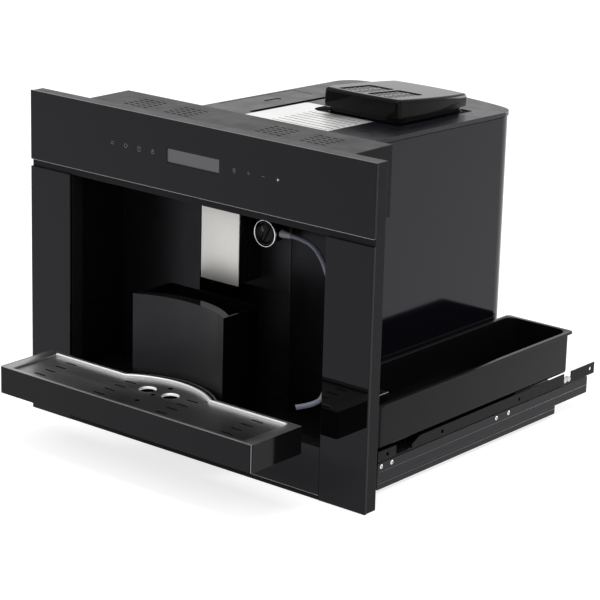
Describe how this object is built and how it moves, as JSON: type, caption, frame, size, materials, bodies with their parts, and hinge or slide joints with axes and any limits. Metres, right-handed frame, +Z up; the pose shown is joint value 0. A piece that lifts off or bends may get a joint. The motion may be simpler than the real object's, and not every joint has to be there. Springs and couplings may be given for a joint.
{
  "type": "built in coffee machine",
  "caption": "Built-in coffee machine with a black glass front on a pull-out frame, drip tray drawn forward, with cup niche, spout, milk hose, bean lid and water tank.",
  "frame": {"origin": "centre of the four floor screws, on the underside of the cabinet frame, which lies on the niche floor", "axes": "+X to the right as seen from the front, +Y to the rear of the cabinet, +Z up"},
  "size_m": [0.595, 0.71, 0.461],
  "materials": {
    "frame_black": "satin black coating",
    "black_glass": "polished black glass",
    "bright_steel": "polished edge",
    "display_grey": "smoked display window",
    "mark_grey": "printed marks",
    "board_green": "circuit board",
    "housing_black": "satin black",
    "liner_black": "black plastic",
    "gloss_black": "high gloss black",
    "brushed_steel": "brushed",
    "chrome": "polished",
    "sleeve_grey": "pale plastic",
    "hose_clear": "translucent silicone",
    "body_grey": "gloss dark grey",
    "cover_black": "satin black",
    "hopper_smoke": "smoked plastic",
    "burr_steel": "hardened steel",
    "motor_grey": "bare casing",
    "piston_white": "food grade plastic",
    "boiler_alloy": "cast",
    "pump_brass": "turned",
    "tank_black": "black plastic",
    "roller_white": "white plastic"
  },
  "bodies": {
    "cabinet": {"cabinet_frame": "frame_black", "slide_outer": "frame_black", "rail_screws": "chrome"},
    "slide_middle": {"slide_middle": "frame_black"},
    "machine": {"fascia_frame": "frame_black", "control_glass": "black_glass", "pillar_glass": "black_glass", "lower_glass": "black_glass", "trim_strips": "bright_steel", "display": "display_grey", "touch_marks": "mark_grey", "control_board": "board_green", "vent_shroud": "housing_black", "niche_liner": "liner_black", "brew_cover": "gloss_black", "spout_guide": "liner_black", "frother_body": "liner_black", "hose_sleeve": "sleeve_grey", "milk_hose": "hose_clear", "body_shell": "body_grey", "top_cover": "cover_black", "powder_chute": "liner_black", "bean_hopper": "hopper_smoke", "grinder_case": "liner_black", "burr_fixed": "burr_steel", "grinder_motor": "motor_grey", "brew_unit": "liner_black", "boiler": "boiler_alloy", "pump": "pump_brass", "mains_inlet": "liner_black", "slide_pan": "frame_black", "slide_inner": "frame_black", "pan_rollers": "roller_white"},
    "spout": {"spout_block": "liner_black", "spout_plate": "brushed_steel", "spout_nozzles": "gloss_black"},
    "knob": {"frother_knob": "gloss_black", "knob_ring": "chrome"},
    "tray": {"drip_tray": "gloss_black"},
    "grille": {"drip_grille": "brushed_steel"},
    "grounds": {"grounds_container": "gloss_black"},
    "lid": {"bean_lid": "gloss_black"},
    "hatch": {"chute_hatch": "cover_black"},
    "rack": {"cup_rack": "brushed_steel"},
    "tank": {"water_tank": "tank_black"},
    "burr": {"burr_turning": "burr_steel"},
    "piston": {"brew_piston": "piston_white"}
  },
  "joints": [
    {"name": "machine_slide", "type": "slide", "parent": "cabinet", "child": "machine", "axis": [0, -1, 0], "range_m": [0, 0.33]},
    {"name": "middle_slide", "type": "slide", "parent": "cabinet", "child": "slide_middle", "axis": [0, -1, 0], "range_m": [0, 0.165]},
    {"name": "tray_slide", "type": "slide", "parent": "machine", "child": "tray", "axis": [0, -1, 0], "range_m": [-0.133, 0.08]},
    {"name": "grille_lift", "type": "slide", "parent": "tray", "child": "grille", "axis": [0, 0, 1], "range_m": [0, 0.05]},
    {"name": "grounds_lift", "type": "slide", "parent": "tray", "child": "grounds", "axis": [0, 0, 1], "range_m": [0, 0.06]},
    {"name": "spout_height", "type": "slide", "parent": "machine", "child": "spout", "axis": [0, 0, 1], "range_m": [-0.05, 0.014]},
    {"name": "frother_turn", "type": "hinge", "parent": "machine", "child": "knob", "pos_m": [0.06, -0.199, 0.3027], "axis": [0, 1, 0], "range_deg": [-45, 45]},
    {"name": "lid_lift", "type": "slide", "parent": "machine", "child": "lid", "axis": [0, 0, 1], "range_m": [0, 0.08]},
    {"name": "hatch_hinge", "type": "hinge", "parent": "machine", "child": "hatch", "pos_m": [-0.1445, 0.021, 0.41992], "axis": [0, -0.9997, 0.024], "range_deg": [0, 95]},
    {"name": "rack_lift", "type": "slide", "parent": "machine", "child": "rack", "axis": [0, 0, 1], "range_m": [0, 0.05]},
    {"name": "tank_lift", "type": "slide", "parent": "machine", "child": "tank", "axis": [0, 0, 1], "range_m": [0, 0.12]},
    {"name": "burr_turn", "type": "hinge", "parent": "machine", "child": "burr", "pos_m": [0.045, 0.0955, 0.325], "axis": [0, 0, 1], "continuous": true},
    {"name": "brew_stroke", "type": "slide", "parent": "machine", "child": "piston", "axis": [0, 0, 1], "range_m": [0, 0.06]}
  ],
  "couplings": [
    {"joint": "middle_slide", "follows": "machine_slide", "ratio": 0.5}
  ]
}
